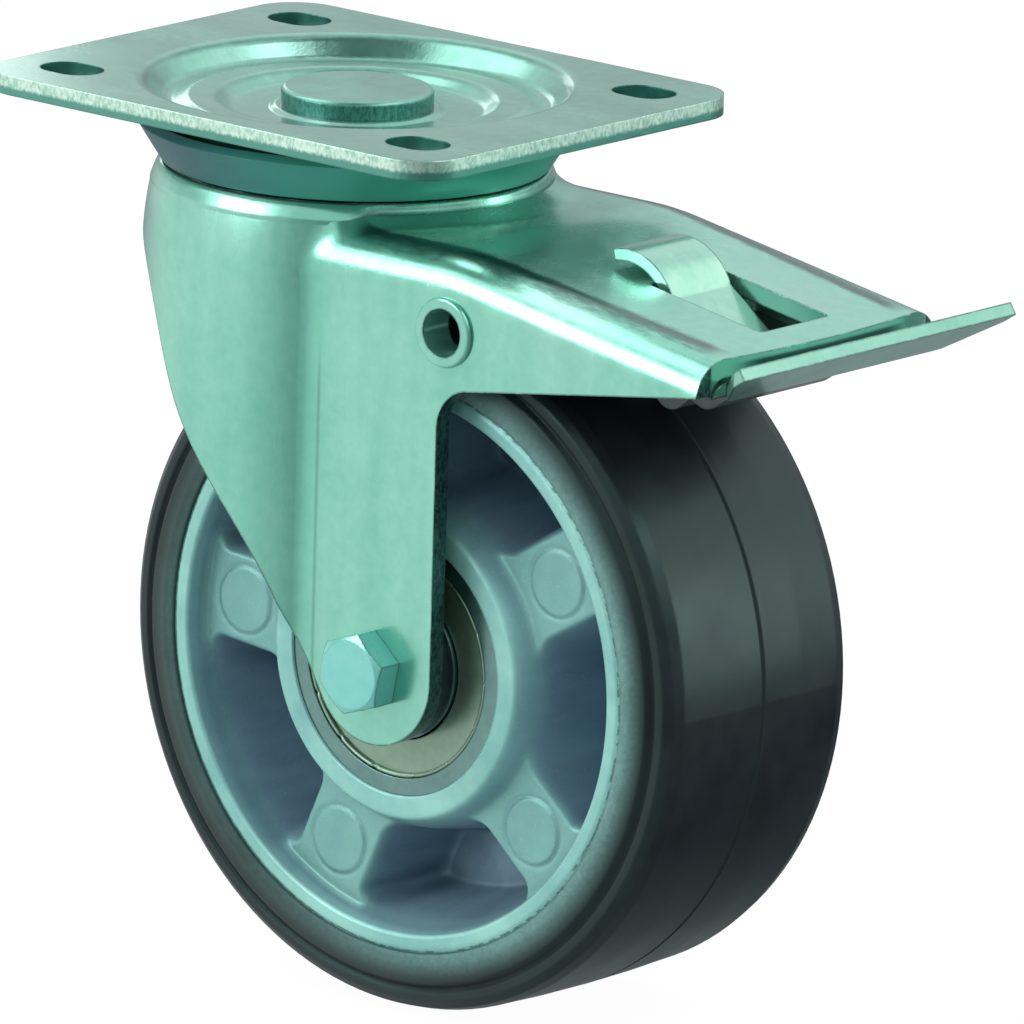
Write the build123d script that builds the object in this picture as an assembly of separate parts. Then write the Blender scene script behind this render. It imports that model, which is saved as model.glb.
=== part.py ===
from build123d import *
import os
from math import cos, degrees, pi, radians, sin, tan

# Swivel castor with a foot brake. Millimetres, +Z up.
# The origin is on the king pin's axis, at the top face of the mounting plate.
# +X points to the trailing wheel and the pedal, -Y to the side of the bolt's head.

# Reach of cutting shapes past what they cut
cut_margin = 3.0
cut_span = 60.0

# Mounting plate
plate_length = 105.0
plate_width = 85.0
plate_sheet = 3.5
plate_corner = 9.0
slot_spacing_x = 80.0
slot_spacing_y = 60.0
slot_width = 9.0
slot_length = 12.0
dish_radius = 37.4
dish_depth = 3.9
dish_wall_run = 3.4
dish_lip_round = 3.2
dish_foot_round = 2.0
race_rise = 0.8
race_width = 5.0
race_round = 2.4
seat_round = 0.8
moat_depth = 5.0
seat_depth = 4.4

# King pin
pin_head_radius = 13.4
pin_head_height = 3.3
pin_radius = 9.0
pin_fit = 0.05
pin_end_radius = 12.0
pin_end_height = 2.2
pin_head_round = 0.9
pin_end_chamfer = 1.2
pin_seat_gap = 1.0
pin_seat_run = 1.0

# Ball races
race_radius = 27.2
upper_ball = 9.5
upper_ball_count = 16
lower_race_radius = 17.0
lower_ball = 6.4
lower_ball_count = 15
ball_gap = 0.15
groove_depth = 0.5
cup_sheet = 2.4
cup_radius = 22.6
cup_rim = 2.2
cup_corner = 1.5

# Dust ring
skirt_sheet = 1.2
skirt_top_radius = 38.5
skirt_bottom_radius = 34.2
skirt_top_z = -5.9
skirt_bottom_z = -13.9
skirt_hem = 1.2

# Fork, one pressing
fork_sheet = 3.3
fork_half_width = 32.0
crown_top_radius = 35.4
crown_skirt_radius = 37.0
crown_flare_z = -31.0
crown_edge = 2.0
crown_crease = 10.0
crown_hole_radius = 11.5
front_edge = [(-26.0, -27.6), (-17.3, -38.0), (-9.4, -53.2), (3.9, -70.0), (14.0, -85.6)]
deck_drop = 2.1
deck_bend_x = 50.0
deck_slope = 9.3
deck_bend_radius = 60.0
deck_edge_bend = 7.0
deck_end_x = 105.0
deck_end_bow = 2.4
arch_z = -27.0
arm_root_z = -42.2
arm_slope = 8.75
leg_rear_x = 47.6
leg_corner = 7.5
leg_end_radius = 13.2
leg_end_turn = 33.0
window_front_x = 75.2
window_end_x = 100.3
window_half_width = 9.2
window_corner = 1.0

# Wheel
wheel_offset = 33.5
wheel_radius = 62.5
wheel_headroom = 31.7
wheel_drop = wheel_radius + wheel_headroom
tyre_half_width = 25.4
tyre_depth = 11.1
tyre_bore_radius = wheel_radius - tyre_depth
tyre_edge_depth = 4.7
tyre_edge_radius = wheel_radius - tyre_edge_depth
tyre_lip = 2.1
tyre_groove = 1.2
tread_half_width = 20.5
tread_crown = 0.5
tyre_side_relief = 0.6
tread_shoulder = [(-2.6, 0.8), (-1.2, 2.0)]
rim_half_width = 25.2
rim_ring = 3.8
rim_ring_radius = tyre_bore_radius - rim_ring
rim_ring_round = 0.8
hub_radius = 29.2
hub_round = 1.8
web_half_thickness = 3.5
spoke_count = 5
spoke_turn = 30.7
spoke_half_width = 9.0
spoke_recess = 4.2
pocket_corner = 4.5
pocket_draft = 8.0
ejector_radius = 5.8
ejector_depth = 0.4
ejector_pitch_radius = (hub_radius + rim_ring_radius) / 2

# Ball bearings in the hub
bearing_radius = 23.5
bearing_bore = 10.0
bearing_width = 14.0
bearing_inset = 0.4
outer_ring_bore = 20.4
inner_ring_radius = 13.4
bearing_ball = 7.9
bearing_ball_count = 8
shield_sheet = 0.6
shield_inset = 0.8
shield_gap = 0.3
hub_shoulder_radius = 20.6

# Axle
bolt_radius = 4.0
bolt_flats = 13.0
bolt_head_height = 5.3
bolt_hole_gap = 0.2
bolt_turn = 19.0
bolt_dome_radius = 6.1
bolt_dome_angle = 62.0
nut_turn = 30.0
nut_height = 6.8
washer_radius = 8.0
washer_sheet = 1.6
bolt_tip = 3.0
sleeve_bore = 4.4
spacer_radius = 12.6

# Brake
pivot_x = 48.9
pivot_z = -31.5
bush_radius = 5.2
bush_bore = 4.2
bush_fit = 0.05
bush_lip_radius = 6.2
bush_lip = 0.9
bush_lip_round = 0.6
lever_sheet = 2.4
lever_side_gap = 0.25
lever_deck_gap = 1.2
lever_front_x = 60.0
lever_eye_radius = 7.6
lever_bend = 4.4
lever_lift = 1.5
lever_window_front_x = 78.6
lever_window_end_x = 101.4
lever_window_half_width = 14.0
lever_window_corner = 2.0
lever_foot = 2.0
lever_end_run = 6.0
pedal_bend_x = 107.6
pedal_end_x = 118.3
pedal_slope = 33.0
pedal_bend = 3.0
pedal_half_width = 36.3
pedal_corner = 1.2
pedal_root_x = 109.4
pedal_overlap = 8.0
shoe_sheet = 2.3
shoe_half_width = 15.0
shoe_wave_height = 3.2
shoe_pitch = 8.0
shoe_bend = 1.2
shoe_low_x = 85.5
shoe_low_z = -39.4
shoe_end_lift = 1.0
shoe_heel_lift = 1.6
shoe_fold = 10.4
shoe_toe = 5.0
rivet_radius = 1.8
rivet_head_radius = 3.2
rivet_head = 1.1
rivet_cut = 12.0
rivet_y = 9.5
rivet_x = 70.0
leaf_sheet = 2.2
leaf_half_width = 7.8
leaf_reach = 8.9
leaf_gap = 0.9
leaf_rise = 16.4
leaf_hump_radius = 9.2
leaf_fall = 66.0
leaf_bend = 3.0
leaf_slope = 36.0
leaf_end_x = 90.5

# Derived heights of the swivel head
race_groove_z = -dish_depth + race_rise - plate_sheet
upper_ball_z = race_groove_z - ball_gap - upper_ball / 2
crown_top_z = upper_ball_z - upper_ball / 2 - ball_gap + groove_depth
lower_ball_z = crown_top_z - fork_sheet + groove_depth - ball_gap - lower_ball / 2
cup_top_z = lower_ball_z - lower_ball / 2 - ball_gap + groove_depth
cup_bottom_z = cup_top_z - cup_sheet
deck_z = crown_top_z - deck_drop

# Derived widths across the wheel
fork_inner = fork_half_width - fork_sheet
cheek_outer = fork_inner - lever_side_gap
cheek_inner = cheek_outer - lever_sheet
bearing_face = rim_half_width - bearing_inset
bearing_back = bearing_face - bearing_width
wheel_z = -wheel_drop


def deck_height(x):
    return deck_z - max(0.0, x - deck_bend_x) * tan(radians(deck_slope))


def arm_height(x):
    return arm_root_z + (x - leg_rear_x) * tan(radians(arm_slope))


def side_plane(y):
    """A drawing plane across Y: its x runs along +X and its y along +Z."""
    return Plane(origin=(0, y, 0), x_dir=(1, 0, 0), z_dir=(0, -1, 0))


def across(profile, y_from, y_to):
    """Extrude a face drawn in X and Z from one Y to another."""
    return extrude(side_plane(y_to) * profile, amount=y_to - y_from)


def ring_y(outer, inner, y_from, y_to, x=wheel_offset, z=wheel_z):
    """A plain ring about an axis along Y."""
    face = Pos(x, z) * (Circle(outer) - Circle(inner))
    return across(face, y_from, y_to)


def disc_y(radius, y_from, y_to, x=wheel_offset, z=wheel_z):
    return across(Pos(x, z) * Circle(radius), y_from, y_to)


def ring_z(outer, inner, z_from, z_to):
    return Pos(0, 0, z_from) * extrude(Circle(outer) - Circle(inner), amount=z_to - z_from)


def turned_y(points):
    """Revolve a section, given as (radius, y), about the wheel's axle."""
    section = make_face(Polyline(*[(r, y, 0) for r, y in points], close=True))
    return Pos(wheel_offset, 0, wheel_z) * revolve(section, Axis.Y, 360)


def turned_z(section):
    """Revolve a section drawn as (radius, z) about the king pin's axis."""
    return revolve(Plane.XZ * section, Axis.Z, 360)


def strip(points, bend, sheet):
    """Section of a bent sheet: a path with rounded bends, thickened to its left."""
    path = FilletPolyline(*points, radius=bend)
    return make_face(offset(path, amount=sheet, side=Side.LEFT))


def sphere_ring(count, pitch_radius, diameter, z):
    balls = PolarLocations(pitch_radius, count) * Sphere(diameter / 2)
    return [Pos(0, 0, z) * ball for ball in balls]


def hexagon(flats, turn):
    return Rot(0, 0, turn) * RegularPolygon(flats / 2, 6, major_radius=False)


# Mounting plate: flat rim with four slots, and a pressed dish with a raised race ring
def top_plate():
    blank = RectangleRounded(plate_length, plate_width, plate_corner)
    for place in GridLocations(slot_spacing_x, slot_spacing_y, 2, 2):
        blank -= place * SlotOverall(slot_length, slot_width)
    blank -= Circle(dish_radius + plate_sheet)
    rim = extrude(blank, amount=-plate_sheet)
    race_in = race_radius - race_width
    race_out = race_radius + race_width
    wall_foot = dish_radius - dish_wall_run
    seat_radius = pin_head_radius + pin_seat_gap
    ring_out = race_radius + race_width / 2
    ring_in = race_radius - race_width / 2
    upper = [
        (dish_radius + plate_sheet, 0),
        (dish_radius, 0),
        (wall_foot, -dish_depth),
        (race_out, -dish_depth),
        (ring_out, -dish_depth + race_rise),
        (ring_in, -dish_depth + race_rise),
        (race_in, -moat_depth),
        (seat_radius + pin_seat_run, -moat_depth),
        (seat_radius, -seat_depth),
        (pin_radius + pin_fit, -seat_depth),
    ]
    lower = [(r, z - plate_sheet) for r, z in reversed(upper)]
    section = make_face(Polyline(*upper, *lower, close=True))

    def bends(*radii):
        return [v for v in section.vertices() if any(abs(v.X - r) < 0.01 for r in radii)]

    section = fillet(bends(dish_radius), dish_lip_round)
    section = fillet(bends(wall_foot), dish_foot_round)
    section = fillet(bends(race_out, ring_out, ring_in, race_in), race_round)
    section = fillet(bends(seat_radius + pin_seat_run, seat_radius), seat_round)
    return rim + turned_z(section)


def king_pin():
    head = Pos(0, 0, -seat_depth) * Cylinder(
        pin_head_radius, pin_head_height, align=(Align.CENTER, Align.CENTER, Align.MIN)
    )
    head = fillet(head.edges().group_by(Axis.Z)[-1], pin_head_round)
    shank = Pos(0, 0, cup_bottom_z) * Cylinder(
        pin_radius, -seat_depth - cup_bottom_z, align=(Align.CENTER, Align.CENTER, Align.MIN)
    )
    formed = Pos(0, 0, cup_bottom_z - pin_end_height) * Cylinder(
        pin_end_radius, pin_end_height, align=(Align.CENTER, Align.CENTER, Align.MIN)
    )
    formed = chamfer(formed.edges().group_by(Axis.Z)[0], pin_end_chamfer)
    return head + shank + formed


def dust_ring():
    seat_z = -dish_depth - plate_sheet
    seat_in = race_radius + race_width
    path = [
        (seat_in, seat_z),
        (seat_in + skirt_hem, seat_z),
        (skirt_top_radius - skirt_hem, skirt_top_z),
        (skirt_top_radius, skirt_top_z - skirt_hem),
        (skirt_bottom_radius, skirt_bottom_z),
    ]
    section = make_face(offset(Polyline(*path), amount=skirt_sheet, side=Side.RIGHT))
    return turned_z(section)


# Cup under the fork's crown, held by the king pin
def lower_cup():
    points = [
        (pin_radius + pin_fit, cup_bottom_z),
        (cup_radius - cup_corner, cup_bottom_z),
        (cup_radius, cup_bottom_z + cup_corner),
        (cup_radius, cup_top_z + cup_rim),
        (cup_radius - cup_sheet, cup_top_z + cup_rim),
        (cup_radius - cup_sheet, cup_top_z),
        (pin_radius + pin_fit, cup_top_z),
    ]
    cup = turned_z(make_face(Polyline(*points, close=True)))
    groove = Pos(0, 0, lower_ball_z) * Torus(lower_race_radius, lower_ball / 2 + ball_gap)
    return cup - groove


def deck_section(drop, front_x, end_x, floor_z):
    """Side view of the fork's channel, lowered by a sheet for the inner face."""
    lower = drop / cos(radians(deck_slope))
    top = FilletPolyline(
        (front_x, deck_z - drop),
        (deck_bend_x, deck_z - drop),
        (end_x, deck_height(end_x) - lower),
        radius=deck_bend_radius,
    )
    rest = Polyline(
        (end_x, deck_height(end_x) - lower), (end_x, floor_z), (front_x, floor_z),
        (front_x, deck_z - drop),
    )
    return make_face([top, rest])


def channel(drop, half_width, bend, front_x, end_x, floor_z):
    """The straight part of the fork: a bar along X with rounded upper edges."""
    bar = across(deck_section(drop, front_x, end_x, floor_z), -half_width, half_width)
    upper = [
        edge for edge in bar.edges()
        if abs(abs(edge.center().Y) - half_width) < 0.01
        and edge.center().Z > deck_height(end_x) - drop - 3
        and edge.bounding_box().size.X > 1
    ]
    return fillet(upper, bend)


def bell(drop, floor_z):
    """The round crown of the fork, flared to the legs."""
    top = crown_top_radius - drop
    skirt = crown_skirt_radius - drop
    flare = TangentArc((skirt, crown_flare_z), (top, crown_top_z - drop), tangent=(0, 1))
    rest = Polyline(
        (top, crown_top_z - drop), (0, crown_top_z - drop), (0, floor_z), (skirt, floor_z),
        (skirt, crown_flare_z),
    )
    body = turned_z(make_face([flare, rest]))
    return fillet(body.edges().group_by(Axis.Z)[-1], max(0.6, crown_edge - drop / 4))


def pressing(drop, far_x, floor_z):
    """Crown and channel in one, with a soft crease where they meet."""
    half_width = fork_half_width - drop
    body = channel(drop, half_width, deck_edge_bend - drop, 0, far_x, floor_z)
    body += bell(drop, floor_z)
    crease_x = ((crown_skirt_radius - drop) ** 2 - half_width ** 2) ** 0.5
    creases = [
        edge for edge in body.edges()
        if abs(edge.center().X - crease_x) < 1
        and abs(abs(edge.center().Y) - half_width) < 1
        and edge.bounding_box().size.Z > fork_half_width
    ]
    return fillet(creases, crown_crease + drop)


def fork_outline():
    """Side view of the pressing's edge: arch, legs, arm and tail."""
    leg_x = leg_rear_x - leg_end_radius
    ahead_x = -crown_skirt_radius - cut_margin
    behind_x = deck_end_x + deck_end_bow + cut_margin
    front = Spline((ahead_x, arch_z), *front_edge)
    start = front @ 1
    turn = radians(leg_end_turn)
    tip = (leg_x - leg_end_radius * cos(turn), wheel_z - leg_end_radius * sin(turn))
    edge_down = Line(start, tip)
    end_arc = ThreePointArc(tip, (leg_x, wheel_z - leg_end_radius), (leg_rear_x, wheel_z))
    rear = FilletPolyline(
        (leg_rear_x, wheel_z),
        (leg_rear_x, arm_root_z),
        (behind_x, arm_height(behind_x)),
        radius=leg_corner,
    )
    close = Polyline(rear @ 1, (behind_x, 0), (ahead_x, 0), front @ 0)
    return make_face([front, edge_down, end_arc, rear, close])


def tail_plan(end_x):
    """Plan view that trims the tail: a bowed end edge."""
    half = fork_half_width + cut_margin
    ahead_x = -crown_skirt_radius - cut_margin
    bow = ThreePointArc((end_x, -half), (end_x + deck_end_bow, 0), (end_x, half))
    wide = crown_skirt_radius + cut_margin
    sides = Polyline((end_x, half), (ahead_x, wide), (ahead_x, -wide), (end_x, -half))
    return make_face([bow, sides])


def fork():
    floor_z = wheel_z - leg_end_radius - cut_margin
    far_x = deck_end_x + deck_end_bow + cut_margin
    outer = pressing(0, far_x, floor_z)
    inner = pressing(fork_sheet, far_x + cut_margin, floor_z)
    body = outer - inner
    body &= across(fork_outline(), -cut_span, cut_span)
    body &= Pos(0, 0, floor_z) * extrude(tail_plan(deck_end_x), amount=-floor_z)
    window = Pos((window_front_x + window_end_x) / 2, 0, 0) * RectangleRounded(
        window_end_x - window_front_x, 2 * window_half_width, window_corner
    )
    body -= Pos(0, 0, -cut_span) * extrude(window, amount=cut_span)
    body -= Pos(0, 0, crown_top_z) * Cylinder(crown_hole_radius, 4 * fork_sheet)
    body -= Pos(0, 0, upper_ball_z) * Torus(race_radius, upper_ball / 2 + ball_gap)
    body -= Pos(0, 0, lower_ball_z) * Torus(lower_race_radius, lower_ball / 2 + ball_gap)
    body -= disc_y(bush_radius, -cut_span, cut_span, pivot_x, pivot_z)
    body -= disc_y(bolt_radius + bolt_hole_gap, -cut_span, cut_span)
    return body


def pocket_sketch(half_gap):
    """One window between two spokes, drawn about the axle, centred on +X."""
    inner = hub_radius
    outer = rim_ring_radius
    half_angle = degrees(pi / spoke_count)
    ring = Circle(outer) - Circle(inner)
    wedge = make_face(
        Polyline(
            (0, 0),
            (2 * outer * cos(radians(half_angle)), 2 * outer * sin(radians(half_angle))),
            (2 * outer, 0),
            (2 * outer * cos(radians(half_angle)), -2 * outer * sin(radians(half_angle))),
            close=True,
        )
    )
    sector = ring & wedge
    for sign in (1, -1):
        bar = Rot(0, 0, sign * half_angle) * Pos(outer, 0) * Rectangle(2 * outer, 2 * half_gap)
        sector -= bar
    return fillet(sector.vertices(), pocket_corner)


# Cast wheel body: hub, closed web and rim ring, with five spokes on each side
def rim():
    disc = ring_y(tyre_bore_radius, bearing_radius, -rim_half_width, rim_half_width)
    disc += ring_y(hub_radius, hub_shoulder_radius, -bearing_back, bearing_back)
    face_y = rim_half_width
    recess = ring_y(rim_ring_radius, hub_radius, face_y - spoke_recess, face_y + cut_margin)
    body = disc - recess - mirror(recess, Plane.XZ)
    for radius, rounding in ((hub_radius, hub_round), (rim_ring_radius, rim_ring_round)):
        brims = [
            edge for edge in body.edges().filter_by(GeomType.CIRCLE)
            if abs(edge.radius - radius) < 0.01 and abs(abs(edge.center().Y) - face_y) < 0.01
        ]
        body = fillet(brims, rounding)
    depth = face_y - spoke_recess - web_half_thickness
    sketch = pocket_sketch(spoke_half_width)
    start = face_y - spoke_recess
    for index in range(spoke_count):
        turn = spoke_turn + (index + 0.5) * 360 / spoke_count
        plane = Plane(origin=(wheel_offset, -start, wheel_z), x_dir=(1, 0, 0), z_dir=(0, -1, 0))
        pocket = extrude(plane * Rot(0, 0, turn) * sketch, amount=-depth, taper=pocket_draft)
        body -= pocket
        body -= mirror(pocket, Plane.XZ)
    for index in range(spoke_count):
        turn = radians(spoke_turn + index * 360 / spoke_count)
        x = wheel_offset + ejector_pitch_radius * cos(turn)
        z = wheel_z + ejector_pitch_radius * sin(turn)
        mark = disc_y(ejector_radius, start - ejector_depth, start + cut_margin, x, z)
        body -= mark + mirror(mark, Plane.XZ)
    return body


def tyre():
    lip = tyre_bore_radius + tyre_lip
    flank = tyre_half_width - tyre_side_relief
    points = [
        (tyre_bore_radius, rim_half_width),
        (lip, tyre_half_width),
        (tyre_edge_radius - tyre_groove, flank),
        (tyre_edge_radius, flank - tyre_groove),
        (tyre_edge_radius + tyre_groove / 2, flank - tyre_groove / 2),
        *[(wheel_radius + inward, flank - fall) for inward, fall in tread_shoulder],
        (wheel_radius - tread_crown, tread_half_width),
        (wheel_radius - tread_crown / 4, tread_half_width / 2),
        (wheel_radius, 0),
    ]
    mirrored = [(r, -y) for r, y in reversed(points[:-1])]
    return turned_y(points + mirrored)


def bearing_outer(side):
    face, back = side * bearing_face, side * bearing_back
    ring = ring_y(bearing_radius, outer_ring_bore, min(face, back), max(face, back))
    groove = Pos(wheel_offset, (face + back) / 2, wheel_z) * Rot(90, 0, 0) * Torus(
        (outer_ring_bore + inner_ring_radius) / 2, bearing_ball / 2 + ball_gap
    )
    return ring - groove


def bearing_inner(side):
    face, back = side * bearing_face, side * bearing_back
    ring = ring_y(inner_ring_radius, bearing_bore, min(face, back), max(face, back))
    groove = Pos(wheel_offset, (face + back) / 2, wheel_z) * Rot(90, 0, 0) * Torus(
        (outer_ring_bore + inner_ring_radius) / 2, bearing_ball / 2 + ball_gap
    )
    return ring - groove


def bearing_balls(side):
    pitch = (outer_ring_bore + inner_ring_radius) / 2
    centre = Pos(wheel_offset, side * (bearing_face + bearing_back) / 2, wheel_z)
    balls = PolarLocations(pitch, bearing_ball_count) * Sphere(bearing_ball / 2)
    return [centre * Rot(90, 0, 0) * ball for ball in balls]


def bearing_shield(side):
    outside = side * (bearing_face - shield_inset)
    inside = outside - side * shield_sheet
    return ring_y(
        outer_ring_bore, inner_ring_radius + shield_gap, min(outside, inside), max(outside, inside)
    )


def axle_bolt():
    start = -fork_half_width
    spread = bolt_head_height * tan(radians(bolt_dome_angle))
    head = across(
        Pos(wheel_offset, wheel_z) * hexagon(bolt_flats, bolt_turn), start - bolt_head_height, start
    )
    dome = Pos(wheel_offset, start - bolt_head_height, wheel_z) * Rot(-90, 0, 0) * Cone(
        bolt_dome_radius, bolt_dome_radius + spread, bolt_head_height,
        align=(Align.CENTER, Align.CENTER, Align.MIN),
    )
    tip = fork_half_width + washer_sheet + nut_height + bolt_tip
    shank = disc_y(bolt_radius, start, tip)
    return (head & dome) + shank


def axle_nut():
    start = fork_half_width + washer_sheet
    body = across(
        Pos(wheel_offset, wheel_z) * hexagon(bolt_flats, nut_turn), start, start + nut_height
    )
    return body - disc_y(bolt_radius, start - cut_margin, start + nut_height + cut_margin)


def lever_bush(side):
    wall = side * fork_half_width
    inner = side * cheek_inner
    tube = ring_y(bush_radius, bush_bore, min(wall, inner), max(wall, inner), pivot_x, pivot_z)
    lip_y = wall + side * bush_lip
    lip = ring_y(
        bush_lip_radius, bush_bore, min(wall, lip_y), max(wall, lip_y), pivot_x, pivot_z
    )
    brim = lip.edges().group_by(Axis.Y)[-1 if side > 0 else 0].sort_by(SortBy.RADIUS)[-1]
    return tube + fillet(brim, bush_lip_round)


def lever_web_z(x):
    return deck_height(x) - fork_sheet / cos(radians(deck_slope)) - lever_deck_gap


def lever_side(drop, front_x):
    """Side view of the lever's channel, its top lowered by a sheet for the inner face."""
    down = drop / cos(radians(deck_slope))
    tail_x = pedal_bend_x - lever_foot
    end_x = tail_x - lever_end_run
    low_z = arm_height(pivot_x + lever_foot) + lever_lift - 2 * drop
    return make_face(
        Polyline(
            (front_x, lever_web_z(lever_front_x) - down),
            (lever_front_x, lever_web_z(lever_front_x) - down),
            (tail_x + drop, lever_web_z(tail_x + drop) - down),
            (tail_x + drop, lever_web_z(tail_x) - lever_sheet - 2 * drop),
            (end_x, arm_height(end_x) + lever_lift - 2 * drop),
            (pivot_x + lever_foot, low_z),
            (front_x, low_z),
            close=True,
        )
    )


def lever_channel(drop, half_width, bend, front_x):
    """A bar along X with two rounded upper edges."""
    bar = across(lever_side(drop, front_x), -half_width, half_width)
    upper = [
        edge for edge in bar.edges()
        if abs(abs(edge.center().Y) - half_width) < 0.01
        and edge.bounding_box().size.X > 3
        and edge.center().Z > lever_web_z(edge.center().X) - drop * 1.1 - 0.2
    ]
    return fillet(upper, bend)


# Brake lever: an inverted channel that pivots in the fork and ends in the pedal
def brake_lever():
    rise = (pedal_end_x - pedal_bend_x) * tan(radians(pedal_slope))
    bend_z = lever_web_z(pedal_bend_x)
    web_path = [
        (pedal_end_x, bend_z + rise),
        (pedal_bend_x, bend_z),
        (pedal_bend_x - pedal_overlap, lever_web_z(pedal_bend_x - pedal_overlap)),
    ]
    pedal = across(strip(web_path, pedal_bend, lever_sheet), -pedal_half_width, pedal_half_width)
    root = cheek_outer - lever_bend
    plan = make_face(
        Polyline(
            (pedal_bend_x - pedal_overlap - cut_margin, -root),
            (pedal_bend_x, -root),
            (pedal_root_x, -cheek_outer),
            (pedal_end_x - pedal_corner, -pedal_half_width),
            (pedal_end_x + cut_margin, -pedal_half_width),
            (pedal_end_x + cut_margin, pedal_half_width),
            (pedal_end_x - pedal_corner, pedal_half_width),
            (pedal_root_x, cheek_outer),
            (pedal_bend_x, root),
            (pedal_bend_x - pedal_overlap - cut_margin, root),
            close=True,
        )
    )
    pedal &= Pos(0, 0, -cut_span) * extrude(plan, amount=cut_span)
    outer = lever_channel(0, cheek_outer, lever_bend, pivot_x)
    inner = lever_channel(lever_sheet, cheek_inner, lever_bend - lever_sheet, pivot_x - cut_margin)
    body = outer - inner
    front = Pos(lever_front_x, 0, pivot_z) * Box(
        lever_front_x - pivot_x + cut_margin, 2 * cheek_inner, cut_span,
        align=(Align.MAX, Align.CENTER, Align.CENTER),
    )
    body -= front
    eye = disc_y(lever_eye_radius, cheek_inner, cheek_outer, pivot_x, pivot_z)
    body += eye + mirror(eye, Plane.XZ) + pedal
    body -= disc_y(bush_radius + bush_fit, -cut_span, cut_span, pivot_x, pivot_z)
    opening = Pos((lever_window_front_x + lever_window_end_x) / 2, 0, 0) * RectangleRounded(
        lever_window_end_x - lever_window_front_x, 2 * lever_window_half_width,
        lever_window_corner,
    )
    body -= Pos(0, 0, -cut_span) * extrude(opening, amount=cut_span)
    for side in (-1, 1):
        body -= Pos(rivet_x, side * rivet_y, lever_web_z(rivet_x)) * Cylinder(rivet_radius, rivet_cut)
    return body


# Brake shoe: a waved strip, folded forward and riveted under the lever
def brake_shoe():
    seat_z = lever_web_z(rivet_x) - lever_sheet / cos(radians(deck_slope))
    slope = tan(radians(deck_slope))
    high_z = shoe_low_z + shoe_wave_height
    fold_x = shoe_low_x - shoe_fold
    points = [
        (shoe_low_x + 1.5 * shoe_pitch, high_z + shoe_end_lift),
        (shoe_low_x + shoe_pitch, shoe_low_z + shoe_heel_lift),
        (shoe_low_x + shoe_pitch / 2, high_z),
        (shoe_low_x, shoe_low_z),
        (shoe_low_x - shoe_pitch / 2, high_z),
        (shoe_low_x - shoe_pitch, high_z + shoe_end_lift),
        (fold_x, seat_z - (fold_x - rivet_x) * slope),
        (rivet_x - shoe_toe, seat_z + shoe_toe * slope),
    ]
    section = strip(points, shoe_bend, shoe_sheet)
    body = across(section, -shoe_half_width, shoe_half_width)
    for side in (-1, 1):
        body -= Pos(rivet_x, side * rivet_y, seat_z) * Cylinder(rivet_radius, rivet_cut)
    return body


def shoe_rivet(side):
    tilt = Rot(0, deck_slope, 0)
    top = lever_web_z(rivet_x)
    grip = (lever_sheet + shoe_sheet) / cos(radians(deck_slope))
    shank = Cylinder(rivet_radius, grip, align=(Align.CENTER, Align.CENTER, Align.MAX))
    low = Pos(0, 0, -grip) * tilt * Cylinder(
        rivet_head_radius, rivet_head, align=(Align.CENTER, Align.CENTER, Align.MAX)
    )
    return Pos(rivet_x, side * rivet_y, top) * (shank + low)


# Leaf spring: a hump over the front edge of the fork's window, and a tongue through it
def leaf_spring():
    tip_x = window_front_x - leaf_reach
    rise = radians(leaf_rise)
    hump = JernArc(
        (tip_x, deck_height(tip_x) + leaf_gap), (cos(rise), sin(rise)), leaf_hump_radius,
        -leaf_rise - leaf_fall,
    )
    bend = JernArc(hump @ 1, hump % 1, leaf_bend, leaf_fall - leaf_slope)
    run = (leaf_end_x - (bend @ 1).X) / cos(radians(leaf_slope))
    tongue = Line(bend @ 1, bend @ 1 + (bend % 1) * run)
    section = make_face(offset(Wire([hump, bend, tongue]), amount=leaf_sheet, side=Side.LEFT))
    return across(section, -leaf_half_width, leaf_half_width)


def sleeve():
    return ring_y(bearing_bore, sleeve_bore, -fork_inner, fork_inner)


def middle_spacer():
    return ring_y(spacer_radius, bearing_bore, -bearing_back, bearing_back)


def side_spacer(side):
    a, b = side * bearing_face, side * fork_inner
    return ring_y(spacer_radius, bearing_bore, min(a, b), max(a, b))


def nut_washer():
    return ring_y(
        washer_radius, bolt_radius + bolt_hole_gap, fork_half_width, fork_half_width + washer_sheet
    )


parts = {
    "top_plate": top_plate(),
    "king_pin": king_pin(),
    "dust_ring": dust_ring(),
    "lower_cup": lower_cup(),
    "upper_balls": Compound(
        children=sphere_ring(upper_ball_count, race_radius, upper_ball, upper_ball_z)
    ),
    "lower_balls": Compound(
        children=sphere_ring(lower_ball_count, lower_race_radius, lower_ball, lower_ball_z)
    ),
    "fork": fork(),
    "rim": rim(),
    "tyre": tyre(),
    "axle_bolt": axle_bolt(),
    "axle_nut": axle_nut(),
    "nut_washer": nut_washer(),
    "axle_sleeve": sleeve(),
    "middle_spacer": middle_spacer(),
    "brake_lever": brake_lever(),
    "brake_shoe": brake_shoe(),
    "leaf_spring": leaf_spring(),
}
for name, side in (("near", -1), ("far", 1)):
    parts["bearing_outer_" + name] = bearing_outer(side)
    parts["bearing_inner_" + name] = bearing_inner(side)
    parts["bearing_balls_" + name] = Compound(children=bearing_balls(side))
    parts["bearing_shield_" + name] = bearing_shield(side)
    parts["side_spacer_" + name] = side_spacer(side)
    parts["lever_bush_" + name] = lever_bush(side)
    parts["shoe_rivet_" + name] = shoe_rivet(side)

os.makedirs("parts", exist_ok=True)
for name, shape in parts.items():
    export_step(shape, "parts/" + name + ".step")
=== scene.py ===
import math

import bmesh
import bpy
import numpy as np
from mathutils import Matrix, Vector


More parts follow.
